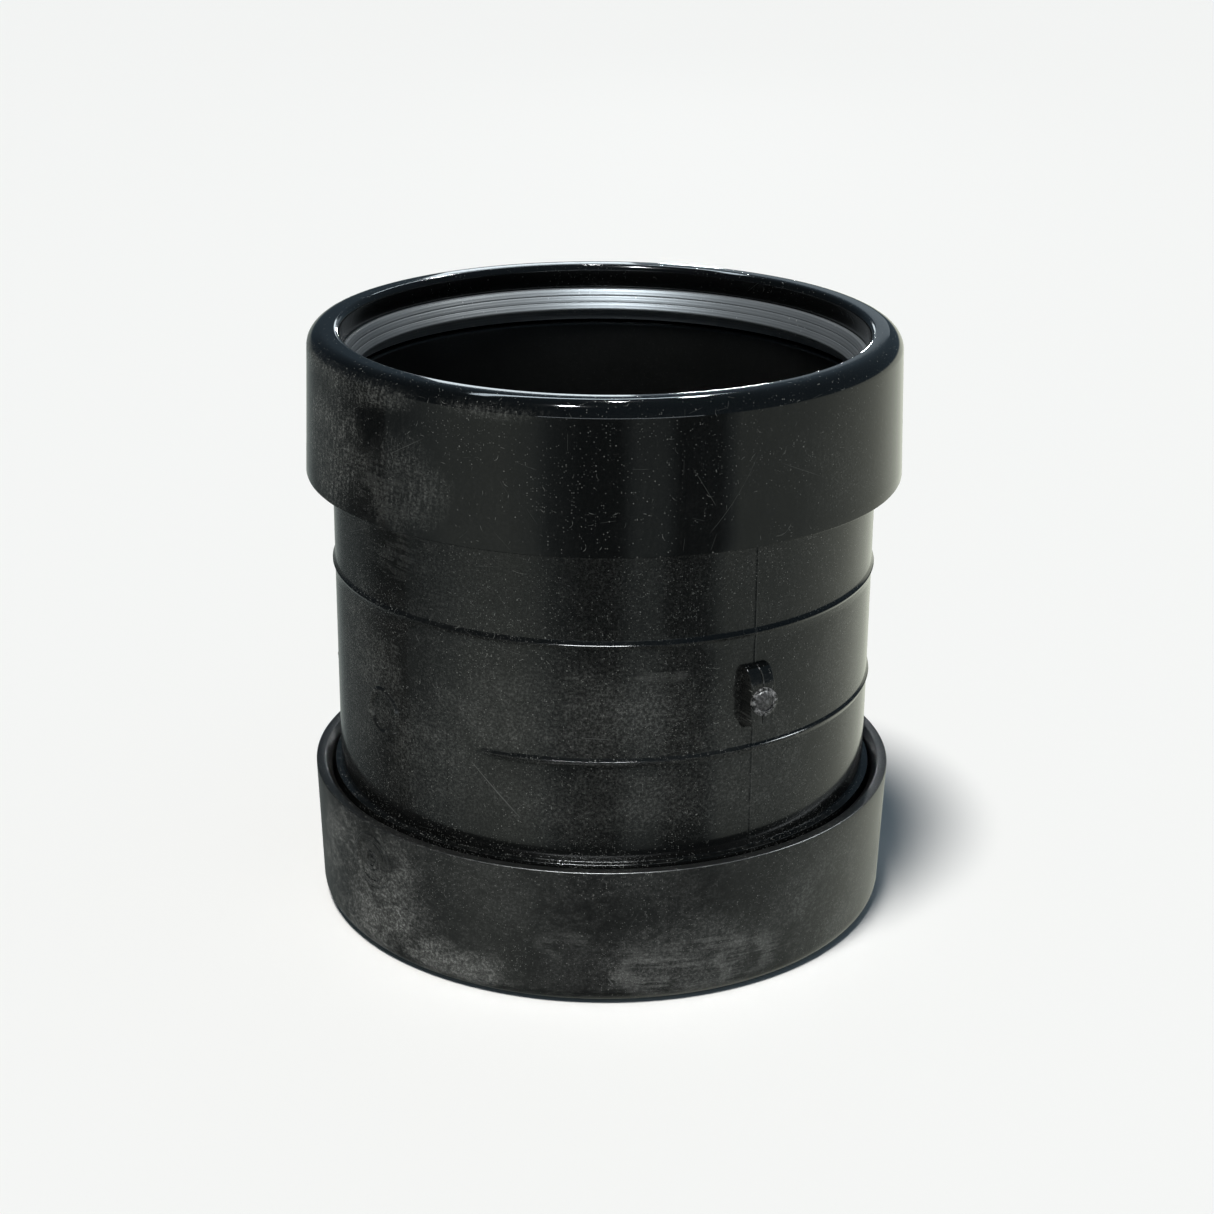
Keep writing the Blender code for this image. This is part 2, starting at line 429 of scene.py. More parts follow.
def raised_ring(radius, width, proud, steps=72):
    """A low rounded ridge in a circle, sunk a little so that it grows out of the wall."""
    loop = section([
        soft(radius + width / 2, proud, width / 4 / MM, 3),
        sharp(radius + width / 2 + proud, -SUNK),
        sharp(radius - width / 2 - proud, -SUNK),
        soft(radius - width / 2, proud, width / 4 / MM, 3),
    ])
    return turned(loop, steps)


def raised_strip(width, length, proud, cuts):
    """A thin ridge that runs straight up."""
    mesh = bmesh.new()
    bmesh.ops.create_cube(mesh, size=1.0)
    for vert in mesh.verts:
        vert.co.x *= width * (0.35 if vert.co.z > 0 else 1.0)
        vert.co.y *= length
        vert.co.z = proud if vert.co.z > 0 else -SUNK
    long_edges = [e for e in mesh.edges if abs(e.verts[0].co.y - e.verts[1].co.y) > length / 2]
    bmesh.ops.subdivide_edges(mesh, edges=long_edges, cuts=cuts)
    return mesh


MARK_TURN, MARK_HEIGHT = math.radians(-141.4), 54.1 * MM
INSERT_TURN, INSERT_HEIGHT = math.radians(-122.8), 43.8 * MM
mark_ring = raised_ring(radius=4.7 * MM, width=1.0 * MM, proud=0.60 * MM)
insert_strip = raised_strip(width=0.40 * MM, length=21.5 * MM, proud=0.08 * MM, cuts=10)
round_mark = finished("round_mark", wrapped(mark_ring, MARK_TURN, MARK_HEIGHT, tube_wall), "barrel")
finished("insert_line", wrapped(insert_strip, INSERT_TURN, INSERT_HEIGHT, tube_wall), "barrel")

# %% [markdown]
# ## Gate lug
# The plastic entered the mould through this lug, and its seam runs up the middle. Each half is its
# side view, with a crown that curves over at the top, extruded sideways and bevelled along its sides,
# so the two meet in a fine groove. One half stands out a little further, as it does on the tube.

# %% Gate lug
LUG_HALF_WIDTH = 2.8 * MM
LUG_OUT = 62.2 * MM
LUG_LOW, LUG_HIGH = 57.7 * MM, 71.3 * MM
LUG_ROOT = BARREL_RADIUS - 0.8 * MM
CROWN_STEPS, CROWN_TALL = 10, 5.0 * MM
LUG_SLOPE, LUG_BEVEL = 1.6 * MM, 0.22 * MM
CROWN_ANGLES = [math.pi / 2 * step / CROWN_STEPS for step in range(CROWN_STEPS + 1)]
LUG_SIDE = [(LUG_ROOT, LUG_LOW), (BARREL_RADIUS, LUG_LOW), (LUG_OUT, LUG_LOW + LUG_SLOPE)]
LUG_SIDE += [(BARREL_RADIUS + (LUG_OUT - BARREL_RADIUS) * math.cos(angle),
              LUG_HIGH - CROWN_TALL + CROWN_TALL * math.sin(angle)) for angle in CROWN_ANGLES]
LUG_SIDE += [(LUG_ROOT, LUG_HIGH)]


def lug_half(side):
    """side is -1 for the half on the left, +1 for the half on the right."""
    mesh = bmesh.new()
    corners = [mesh.verts.new((out, 0.0, height)) for out, height in LUG_SIDE]
    pulled = bmesh.ops.extrude_face_region(mesh, geom=[mesh.faces.new(corners)])
    moved = [item for item in pulled["geom"] if isinstance(item, bmesh.types.BMVert)]
    bmesh.ops.translate(mesh, verts=moved, vec=(0.0, side * LUG_HALF_WIDTH, 0.0))
    bmesh.ops.recalc_face_normals(mesh, faces=mesh.faces)
    side_edges = [edge for edge in mesh.edges if abs(edge.verts[0].co.y - edge.verts[1].co.y) < 0.1 * MM]
    bmesh.ops.bevel(mesh, geom=side_edges, affect="EDGES", offset_type="OFFSET", offset=LUG_BEVEL,
                    segments=4, profile=0.5, material=-1)
    shift = SEAM_SHIFT if side > 0 else 0.0
    bmesh.ops.translate(mesh, verts=mesh.verts, vec=(shift, 0.0, 0.0))
    bmesh.ops.rotate(mesh, verts=mesh.verts, cent=(0, 0, 0), matrix=Matrix.Rotation(LUG_TURN, 3, "Z"))
    return mesh


lug_left = finished("gate_lug_left", lug_half(-1), "barrel")
lug_right = finished("gate_lug_right", lug_half(+1), "barrel")

# %% [markdown]
# ## Torn sprue
# The sprue was twisted off and left a stub: a smooth pulled dome, with a torn collar round it. The dome
# is half a sphere, flattened. The collar is a ring whose edges are subdivided with a fractal offset,
# which breaks it into a torn, crystal-like surface, and always the same one for the same seed.

# %% Torn sprue
SPRUE_RADIUS, SPRUE_HEIGHT = 2.9 * MM, 64.2 * MM
SPRUE_PLACE = (Matrix.Rotation(LUG_TURN, 4, "Z") @ Matrix.Translation((LUG_OUT, 0, SPRUE_HEIGHT))
               @ Matrix.Rotation(math.pi / 2, 4, "Y"))


def pulled_dome():
    mesh = bmesh.new()
    bmesh.ops.create_uvsphere(mesh, u_segments=40, v_segments=24, radius=SPRUE_RADIUS * 0.86)
    bmesh.ops.scale(mesh, vec=(1.0, 1.0, 0.50), verts=mesh.verts)
    for vert in mesh.verts:
        vert.co += vert.normal * 0.10 * MM * noise.noise(vert.co * 700)
    bmesh.ops.transform(mesh, matrix=SPRUE_PLACE, verts=mesh.verts)
    return mesh


def torn_collar():
    ring = turned(section([sharp(SPRUE_RADIUS, 0.75 * MM), sharp(SPRUE_RADIUS, -SUNK),
                           sharp(SPRUE_RADIUS * 0.62, -SUNK), sharp(SPRUE_RADIUS * 0.70, 0.95 * MM)]), 22)
    bmesh.ops.subdivide_edges(ring, edges=ring.edges[:], cuts=3, use_grid_fill=True, fractal=0.5,
                              along_normal=0.5, seed=11)
    for vert in ring.verts:
        far_side = smooth_step(-SPRUE_RADIUS, SPRUE_RADIUS, vert.co.y + vert.co.x)
        if vert.co.z > 0.2 * MM:
            vert.co.z *= 0.5 + 0.75 * far_side
    bmesh.ops.triangulate(ring, faces=ring.faces)
    bmesh.ops.recalc_face_normals(ring, faces=ring.faces)
    bmesh.ops.transform(ring, matrix=SPRUE_PLACE, verts=ring.verts)
    return ring


sprue_dome = finished("sprue_dome", pulled_dome(), "barrel")
sprue_collar = finished("sprue_collar", torn_collar(), "barrel", smooth_angle=20)

# %% [markdown]
# ## Caps
# A cap is a ring with a fat rounded lip at its closed end and a skirt that widens a little. Inside the
# skirt a bead springs over the bell. The same moulding is used at both ends: the lower one lies as it
# was drawn, and the upper one is the same mesh turned over about X.

# %% Section of a cap
CAP_PLATE = 5.2 * MM
MOUTH_RADIUS = 56.2 * MM
SKIRT_INNER = 60.8 * MM
CAP_BEAD = BELL_RADIUS + 0.3 * MM
MOUTH_ROUND, LIP_ROUND = 1.4, 3.5
EDGE_CHAMFER = 1.4 * MM
CAP_WARP, SEAL_WARP = (0.05 * MM, 26 * MM), (0.05 * MM, 18 * MM)


def cap_section():
    slope = SKIRT_INNER - CAP_BEAD
    return section([
        soft(MOUTH_RADIUS, 0.0, MOUTH_ROUND, 12),
        soft(CAP_RADIUS, 0.0, LIP_ROUND, 20),
        soft(SKIRT_EDGE_RADIUS, CAP_HEIGHT, 0.28, 5),
        soft(SKIRT_INNER + EDGE_CHAMFER, CAP_HEIGHT, 0.25, 4),
        soft(SKIRT_INNER, CAP_HEIGHT - EDGE_CHAMFER, 0.4, 4),
        soft(SKIRT_INNER, GROOVE_HEIGHT + GROOVE_HALF, 0.1, 2),
        soft(CAP_BEAD, GROOVE_HEIGHT + GROOVE_HALF - slope, 0.2, 3),
        soft(CAP_BEAD, GROOVE_HEIGHT - GROOVE_HALF + slope, 0.2, 3),
        soft(SKIRT_INNER, GROOVE_HEIGHT - GROOVE_HALF, 0.1, 2),
        soft(SKIRT_INNER, CAP_PLATE, 0.3, 3),
        soft(MOUTH_RADIUS, CAP_PLATE, 0.2, 3),
    ])


def turned_over(mesh):
    """Turn a piece made for the lower end over, to the upper end."""
    place = Matrix.Translation((0, 0, HEIGHT)) @ Matrix.Rotation(math.pi, 4, "X")
    bmesh.ops.transform(mesh, matrix=place, verts=mesh.verts)
    return mesh


def cap_ring(seed):
    mesh = ring_cuts(turned(cap_section()), every(3.6 * MM, CAP_HEIGHT - 0.4 * MM, 10))
    return warped(mesh, *CAP_WARP, seed)


lower_cap = finished("lower_cap_ring", cap_ring(5.0), "lower_cap")
upper_cap = finished("upper_cap_ring", turned_over(cap_ring(9.0)), "upper_cap")

# %% [markdown]
# ### Gate marks
# Each cap was filled through its skirt too, and keeps a shallow circle with a small pip and its collar
# in the middle. The skirt widens towards its free edge, so the mark is bent round a wall whose radius
# grows with height.

# %% Gate marks on the caps
GATE_HEIGHT = 22.2 * MM


def skirt_wall(height):
    return CAP_RADIUS + (SKIRT_EDGE_RADIUS - CAP_RADIUS) * (height / CAP_HEIGHT)


def gate_pip():
    mesh = bmesh.new()
    bmesh.ops.create_uvsphere(mesh, u_segments=24, v_segments=12, radius=1.0 * MM)
    bmesh.ops.scale(mesh, vec=(1.0, 0.9, 0.45), verts=mesh.verts)
    bmesh.ops.translate(mesh, vec=(0.3 * MM, 0.2 * MM, 0.0), verts=mesh.verts)
    return mesh


def gate_mark(name, body, turn, place=None):
    for kind, mesh in (("circle", raised_ring(5.4 * MM, 1.3 * MM, 0.26 * MM)), ("pip", gate_pip()),
                       ("collar", raised_ring(1.7 * MM, 0.7 * MM, 0.24 * MM, 40))):
        mark = wrapped(mesh, turn, GATE_HEIGHT, skirt_wall)
        finished(f"{name}_{kind}", place(mark) if place else mark, body)


gate_mark("lower_gate", "lower_cap", math.radians(-139.4))
gate_mark("upper_gate", "upper_cap", math.radians(-60.0), turned_over)

# %% [markdown]
# ## Rubber seals
# The seal is a ring with a thin lip that leans inwards, and a pipe pushes the lip back as it goes in.
# Three flat ribs run round the lip's face with a fine groove between them. The ribs are laid out along
# the line of the lip, so the section stays right if the lip's slope is changed.

# %% Section of a seal
SEAL_HEIGHT = 7.4 * MM
LIP_TOP = Vector((55.4 * MM, 0.0))
LIP_TIP = Vector((53.6 * MM, 4.5 * MM))
LIP_THICK = 1.3 * MM
RIB_STARTS = (0.0, 0.345, 0.67)
RIB_ENDS = (0.315, 0.64, 0.97)
RIB_PROUD = 0.11 * MM
RIB_ROUND = 0.16
RIB_GROOVE = 0.015
LIP_BACK = 56.0 * MM


def seal_section():
    along = LIP_TIP - LIP_TOP
    face = Vector((-along.y, along.x)).normalized()
    corners = []
    for start, end in zip(RIB_STARTS, RIB_ENDS):
        for share in (start, end):
            point = LIP_TOP + along * share + face * RIB_PROUD
            corners.append(soft(point.x, max(point.y, 0.0), RIB_ROUND, 3))
        if end < RIB_ENDS[-1]:
            point = LIP_TOP + along * (end + RIB_GROOVE)
            corners.append(sharp(point.x, point.y))
    back = LIP_TIP - face * LIP_THICK
    corners += [
        soft(LIP_TIP.x, LIP_TIP.y + 0.2 * MM, 0.3, 4),
        soft(back.x, back.y, 0.3, 4),
        soft(LIP_BACK, 2.2 * MM, 0.3, 3),
        soft(LIP_BACK, SEAL_HEIGHT, 0.2, 3),
        soft(SEAL_RADIUS, SEAL_HEIGHT, 0.2, 3),
        soft(SEAL_RADIUS, 0.0, 0.2, 3),
    ]
    return section([(radius, BELL_END + height, *rest) for radius, height, *rest in corners])


def seal_ring(seed):
    return warped(turned(seal_section()), *SEAL_WARP, seed)


lower_seal = finished("lower_seal_ring", seal_ring(2.0), "lower_seal")
upper_seal = finished("upper_seal_ring", turned_over(seal_ring(4.0)), "upper_seal")

# %% [markdown]
# ## Standing in for the frame
# The fine pieces take the place of the plain CAD ones, which stay in the simulation but aren't shown.

# %% Replace the CAD nodes
for piece, node in ((barrel, "barrel"), (lower_cap, "lower_cap"), (upper_cap, "upper_cap"),
                    (lower_seal, "lower_seal"), (upper_seal, "upper_seal")):
    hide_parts(node)

# %% [markdown]
# ## Building materials in code
# A node tree is quicker to read when each node takes one line. These helpers add a node, and join each
# input either to a plain value or to another node's output. Masks are mostly multiplied together, or
# the strongest of them wins, so those two have helpers of their own.

# %% Node helpers
def join(tree, socket, value):
    if isinstance(value, bpy.types.NodeSocket):
        tree.links.new(value, socket)
    else:
        socket.default_value = value


def put(tree, kind, settings=None, **inputs):
    node = tree.nodes.new("ShaderNode" + kind)
    for name, value in (settings or {}).items():
        setattr(node, name, value)
    for name, value in inputs.items():
        join(tree, node.inputs[name.replace("_", " ")], value)
    return node


def put_in_order(tree, kind, settings, values, sockets):
    """Add a node whose inputs share a name, so they are told apart by number."""
    node = put(tree, kind, settings)
    for socket, value in zip(sockets, values):
        join(tree, node.inputs[socket], value)
    return node


def maths(tree, operation, *values, clamp=False):
    settings = {"operation": operation, "use_clamp": clamp}
    return put_in_order(tree, "Math", settings, values, range(3)).outputs[0]


def added(tree, mask, amount, base):
    """The base, and so much of the mask on top of it."""
    return maths(tree, "MULTIPLY_ADD", mask, amount, base)


def less(tree, first, second):
    return maths(tree, "SUBTRACT", first, second)


def times(tree, first, *others):
    for other in others:
        first = maths(tree, "MULTIPLY", first, other)
    return first


def strongest(tree, first, *others):
    for other in others:
        first = maths(tree, "MAXIMUM", first, other)
    return first


def lessened(tree, mask, weight):
    """1 where the mask is 1, and 1 less the weight where it is 0."""
    return added(tree, mask, weight, 1.0 - weight)


def slant_length(tree, across, up):
    """How long a slanting line is, from how far it goes across and up."""
    return maths(tree, "SQRT", maths(tree, "ADD", times(tree, across, across), times(tree, up, up)))


def fade(tree, value, low, high):
    """0 at low and 1 at high, smoothly; low may be the larger of the two."""
    settings = {"interpolation_type": "SMOOTHSTEP"}
    return put(tree, "MapRange", settings, Value=value, From_Min=low, From_Max=high).outputs["Result"]


def blend_colours(tree, share, below, above):
    return put_in_order(tree, "Mix", {"data_type": "RGBA"}, (share, below, above), (0, 6, 7)).outputs[2]


def parts_of(tree, vector):
    return put(tree, "SeparateXYZ", Vector=vector).outputs


def turned_by(tree, vector, angle, centre=(0.0, 0.0, 0.0)):
    return put(tree, "VectorRotate", {"rotation_type": "Z_AXIS"}, Vector=vector, Angle=angle,
               Center=centre).outputs[0]


def vectors(tree, operation, first, second):
    return put_in_order(tree, "VectorMath", {"operation": operation}, (first, second), (0, 1)).outputs[0]


def scaled(tree, vector, amount):
    return put(tree, "VectorMath", {"operation": "SCALE"}, Vector=vector, Scale=amount).outputs[0]


def noise_of(tree, vector, scale, detail=2.0, roughness=0.5):
    return put(tree, "TexNoise", Vector=vector, Scale=scale, Detail=detail, Roughness=roughness).outputs[0]


def cells_of(tree, vector, scale):
    """Voronoi cells on the skin, and three random numbers for each of them."""
    cells = put(tree, "TexVoronoi", {"voronoi_dimensions": "2D"}, Vector=vector, Scale=scale).outputs
    return cells, put(tree, "SeparateColor", Color=cells["Color"]).outputs


def new_group(name, inputs, outputs=("Mask",)):
    """A node group with a vector first, then number inputs as name: starting value."""
    group = bpy.data.node_groups.new(name, "ShaderNodeTree")
    group.interface.new_socket(name="Vector", in_out="INPUT", socket_type="NodeSocketVector")
    for title, value in inputs.items():
        made = group.interface.new_socket(name=title, in_out="INPUT", socket_type="NodeSocketFloat")
        made.default_value = value
    for title in outputs:
        group.interface.new_socket(name=title, in_out="OUTPUT", socket_type="NodeSocketFloat")
    given, result = group.nodes.new("NodeGroupInput").outputs, group.nodes.new("NodeGroupOutput").inputs
    return group, given["Vector"], given, result


def use(tree, group, **inputs):
    node = tree.nodes.new("ShaderNodeGroup")
    node.node_tree = bpy.data.node_groups[group]
    for name, value in inputs.items():
        join(tree, node.inputs[name], value)
    return node.outputs


# %% [markdown]
# ## Dust specks
# Dust sits as separate bright dots. A Voronoi texture gives one random point to each cell, and the
# distance to that point draws a dot. Each cell's random colour decides whether its dot is there at
# all, how big it is and how bright, so few cells hold one and no two look alike.

# %% Dust specks group
tree, point, given, result = new_group("dust_specks", {"Scale": 900.0, "Share": 0.1, "Size": 0.2})
cells, chance = cells_of(tree, point, given["Scale"])
size = times(tree, given["Size"], maths(tree, "ADD", chance[1], 0.3))
dot = fade(tree, cells["Distance"], size, 0.0)
cluster = fade(tree, noise_of(tree, point, 55.0, 3.0), 0.3, 0.72)
share = times(tree, given["Share"], times(tree, cluster, 2.2))
there = maths(tree, "LESS_THAN", chance[0], share)
bright = maths(tree, "ADD", times(tree, chance[2], 0.7), 0.3)
join(tree, result["Mask"], times(tree, dot, there, bright))
print("dust_specks:", len(tree.nodes), "nodes")

# %% [markdown]
# ## Strokes: scratches and lint
# A scratch and a fibre of lint are both short thin lines. Inside each Voronoi cell the surface is
# measured from the cell's own point and turned by a random angle, so one axis runs along the line and
# the other across it. Bending the line by the square of the way along makes it a fibre.

# %% Strokes group
tree, point, given, result = new_group("strokes", {
    "Scale": 120.0, "Share": 0.3, "Length": 0.35, "Width": 0.01, "Turn": 0.0, "Spread": 1.0, "Bend": 0.0})
skin_point = scaled(tree, point, given["Scale"])
cells, chance = cells_of(tree, skin_point, 1.0)
local = vectors(tree, "SUBTRACT", skin_point, cells["Position"])
swing = times(tree, less(tree, chance[0], 0.5), given["Spread"])
angle = added(tree, swing, math.pi, given["Turn"])
axes = parts_of(tree, turned_by(tree, local, angle))
curve = times(tree, less(tree, chance[2], 0.5), given["Bend"])
sag = times(tree, axes[0], axes[0], curve)
across = maths(tree, "ABSOLUTE", less(tree, axes[1], sag))
reach = times(tree, given["Length"], maths(tree, "ADD", chance[2], 0.25))
line = fade(tree, across, given["Width"], 0.0)
ends = fade(tree, maths(tree, "ABSOLUTE", axes[0]), reach, times(tree, reach, 0.7))
there = maths(tree, "LESS_THAN", chance[1], given["Share"])
join(tree, result["Mask"], times(tree, line, ends, there))
print("strokes:", len(tree.nodes), "nodes")

# %% [markdown]
# ## Dust film
# Fine dust also lies as a thin uneven film that hands have wiped through. Two noises are averaged: a
# broad one for where the film is, and a stretched one for the wipes. A third and much finer noise is
# handed over beside them, and breaks the film into grit.

# %% Dust film group
tree, point, given, result = new_group(
    "dust_film", {"Scale": 25.0, "Stretch": 3.0, "Turn": 0.0, "Low": 0.45, "High": 0.75}, ("Mask", "Fine"))
turned_skin = turned_by(tree, point, given["Turn"])
stretch = put(tree, "CombineXYZ", X=given["Stretch"], Y=1.0, Z=1.0).outputs[0]
broad = noise_of(tree, point, given["Scale"], 3.0)
wipes = noise_of(tree, vectors(tree, "MULTIPLY", turned_skin, stretch), times(tree, given["Scale"], 6.0),
                 6.0, 0.65)
both = added(tree, wipes, 0.5, times(tree, broad, 0.5))
join(tree, result["Mask"], fade(tree, both, given["Low"], given["High"]))
join(tree, result["Fine"], fade(tree, noise_of(tree, point, 1500.0, 5.0, 0.78), 0.44, 0.64))
print("dust_film:", len(tree.nodes), "nodes")

# %% [markdown]
# ## Patches
# Some dirt has a place: a smear at the left, a cloud between the beads, a scuff where the cap was
# dragged. A patch is an ellipse on the skin, given by its middle and its size in metres and turned by
# an angle. A noise ragged enough to hide the ellipse is added to the distance before it fades out. A
# very thin patch is a gouge; the one along the barrel's seam is a line of painted sheen.

# %% Patch group
tree, point, given, result = new_group(
    "patch", {"Round": 0.0, "Up": 0.0, "Width": 0.02, "Height": 0.02, "Turn": 0.0, "Ragged": 0.8})
middle = put(tree, "CombineXYZ", X=given["Round"], Y=given["Up"], Z=0.0).outputs[0]
place = parts_of(tree, turned_by(tree, point, given["Turn"], middle))
far_round = maths(tree, "DIVIDE", less(tree, place[0], given["Round"]), given["Width"])
far_up = maths(tree, "DIVIDE", less(tree, place[1], given["Up"]), given["Height"])
distance = slant_length(tree, far_round, far_up)
ragged = less(tree, noise_of(tree, point, 130.0, 5.0, 0.6), 0.5)
uneven = added(tree, ragged, given["Ragged"], distance)
join(tree, result["Mask"], fade(tree, uneven, 1.05, 0.45))
print("patch:", len(tree.nodes), "nodes")

# %% [markdown]
# ## Scuffed edges
# Edges lose their polish first. The edge number stored on each piece is broken up by a noise, so the
# wear comes and goes along the edge.

# %% Edge wear group
tree, point, given, result = new_group("edge_wear", {"Edge": 0.0, "Scale": 400.0, "Amount": 1.0})
breakup = fade(tree, noise_of(tree, point, given["Scale"], 4.0), 0.45, 0.7)
worn = times(tree, fade(tree, given["Edge"], 0.35, 1.0), breakup)
join(tree, result["Mask"], maths(tree, "MULTIPLY", worn, given["Amount"], clamp=True))
print("edge_wear:", len(tree.nodes), "nodes")

# %% [markdown]
# ## Black uPVC
# All three black mouldings are the same plastic with different lives: the upper cap is still polished,
# the barrel is satin, and the lower cap has stood in the dirt. One function wires the groups into a
# shader and takes how much of each effect there is. Dust is paler and rougher than the plastic, so a
# single mask drives both the colour and the roughness.

# %% Dirt on the skin
DUST = (0.335, 0.342, 0.320, 1.0)


def on_skin(degrees):
    """Where a direction round the coupling falls on the skin map, in metres."""
    return math.radians(degrees) * SKIN_RADIUS


def patches(tree, skin, places):
    """The strongest of some patches: degrees round, height, half width, half height, strength, slant."""
    total = 0.0
    for turn, up, width, tall, strength, *slant in places:
        mask = use(tree, "patch", Vector=skin, Round=on_skin(turn), Up=up * MM, Width=width * MM,
                   Height=tall * MM, Turn=math.radians(slant[0]) if slant else 0.0)["Mask"]
        total = strongest(tree, total, times(tree, mask, strength))
    return total


def film_cover(tree, skin, look):
    """How thick the film of dust is, with the rubbed scuffs laid over it."""
    film = use(tree, "dust_film", Vector=skin, **look["film"])
    there = maths(tree, "ADD", patches(tree, skin, look["patches"]), look["everywhere"], clamp=True)
    cover = times(tree, lessened(tree, film["Mask"], look["cloudy"]), there)
    cover = times(tree, cover, lessened(tree, film["Fine"], look["gritty"]))
    rubs = use(tree, "dust_film", Vector=skin, Scale=210.0, Stretch=0.04, Turn=0.04, Low=0.43, High=0.56)
    rubs = times(tree, rubs["Mask"], patches(tree, skin, look["rubs"]))
    return maths(tree, "MAXIMUM", cover, times(tree, rubs, lessened(tree, film["Fine"], 0.6)), clamp=True)


def loose_dirt(tree, skin, look, cover):
    """Specks of two sizes and fibres of two lengths; there are more specks where the film is thick."""
    share = added(tree, cover, 0.5, look["specks"])
    fine = use(tree, "dust_specks", Vector=skin, Scale=2800.0, Share=share, Size=0.42)["Mask"]
    middling = use(tree, "dust_specks", Vector=skin, Scale=1350.0, Share=times(tree, share, 0.22),
                   Size=0.26)["Mask"]
    short = use(tree, "strokes", Vector=skin, Scale=420.0, Share=look["lint"], Length=0.30, Width=0.024,
                Bend=3.0)["Mask"]
    long = use(tree, "strokes", Vector=skin, Scale=130.0, Share=look["lint"] * 0.3, Length=0.26,
               Width=0.008, Bend=4.0)["Mask"]
    dots = strongest(tree, fine, middling, times(tree, strongest(tree, short, long), 0.75))
    faint = fade(tree, noise_of(tree, skin, 1100.0, 1.0), 0.40, 0.60)
    return times(tree, dots, lessened(tree, faint, 0.75))


def scratches_and_sheen(tree, skin, look):
    """Long cuts, short hairlines, each gouge that has a place of its own, and a line of painted sheen
    along the barrel's seam.
    """
    cuts = use(tree, "strokes", Vector=skin, Scale=55.0, Share=look["scratches"], Length=0.45, Width=0.003,
               Bend=0.4)["Mask"]
    hairlines = use(tree, "strokes", Vector=skin, Scale=190.0, Share=look["scratches"], Length=0.40,
                    Width=0.008, Turn=0.6, Spread=0.9)["Mask"]
    marks = strongest(tree, times(tree, cuts, 0.8), times(tree, hairlines, 0.6))
    return strongest(tree, marks, patches(tree, skin, look["gouges_and_sheen"]))


# %% [markdown]
# Three more things shape the pale film. Less film is put on faces that look up, which keeps their
# tops darker. Below a height named foot the barrel gets no film: a black band of painted shade in the
# gap above the lower cap. The bore is kept nearly free of film too, as painted shade that keeps it
# dark, and it is made less polished.

# %% Black uPVC
BORE_SHADE_FADE = (55.6 * MM, 57.0 * MM)
SHADE_FOOT_FADE = 2.5 * MM


def new_material(name):
    """A new material, its tree, the shader's inputs and the place on the object."""
    material = bpy.data.materials.new(name)
    material.use_nodes = True
    tree = material.node_tree
    return material, tree, tree.nodes["Principled BSDF"].inputs, put(tree, "TexCoord").outputs["Object"]


def skin_of(tree):
    return put(tree, "UVMap", {"uv_map": "skin"}).outputs[0]


def bumped(tree, shader, strength, distance, height):
    bump = put(tree, "Bump", Strength=strength, Distance=distance, Height=height)
    join(tree, shader["Normal"], bump.outputs[0])


def black_upvc(name, look):
    material, tree, shader, spot = new_material(name)
    skin = skin_of(tree)
    edge = put(tree, "Attribute", {"attribute_name": "edge"}).outputs["Fac"]
    cover = film_cover(tree, skin, look)
    dots = loose_dirt(tree, skin, look, cover)
    marks = scratches_and_sheen(tree, skin, look)
    facing = parts_of(tree, put(tree, "TexCoord").outputs["Normal"])[2]
    # Faces that look up keep far less film, so their tops stay darker.
    cover = times(tree, cover, added(tree, fade(tree, facing, 0.20, 0.60), -0.85, 1.0))
    rubbed = use(tree, "edge_wear", Vector=spot, Edge=edge, Scale=500.0, Amount=look["wear"])["Mask"]
    parts = parts_of(tree, spot)
    # Below the foot the film is taken away: a black band of painted shade in the gap above the lower cap.
    if "foot" in look:
        above = fade(tree, parts[2], look["foot"] * MM, look["foot"] * MM + SHADE_FOOT_FADE)
        cover = times(tree, cover, lessened(tree, above, 0.85))
    outside = fade(tree, slant_length(tree, parts[0], parts[1]), *BORE_SHADE_FADE)

    pale = strongest(tree, times(tree, cover, look["strength"]), times(tree, dots, look["bright"]),
                     times(tree, marks, 0.22), times(tree, rubbed, 0.30))
    # In the bore the pale film, specks and scuffs are cut to a seventh: painted shade that keeps the bore
    # dark.
    pale = times(tree, pale, lessened(tree, outside, 0.86))
    join(tree, shader["Base Color"], blend_colours(tree, pale, (*look["colour"], 1.0), DUST))

    rough = added(tree, noise_of(tree, spot, 60.0, 4.0), look["mottle"], look["roughness"])
    rough = added(tree, cover, 0.35, rough)
    rough = added(tree, less(tree, 1.0, outside), 0.22, rough)
    rough = maths(tree, "MULTIPLY_ADD", strongest(tree, marks, rubbed), 0.25, rough, clamp=True)
    join(tree, shader["Roughness"], rough)

    height = added(tree, noise_of(tree, spot, 1500.0, 3.0), look["grain"],
                   times(tree, marks, -0.5))
    height = added(tree, dots, 0.6, height)
    bumped(tree, shader, 0.3, 0.05 * MM, height)
    return material


# %% [markdown]
# ### The three finishes
# Each look lists its own amounts. A patch, a rub, a gouge or a line of painted sheen is given as degrees
# round the coupling, height in millimetres, half its width and half its height, how strong it is, and if
# it leans, by how many degrees. The film lies faintly everywhere and thickly in the patches; cloudy says
# how much of it the broad noises take away, and gritty how much the fine one does.

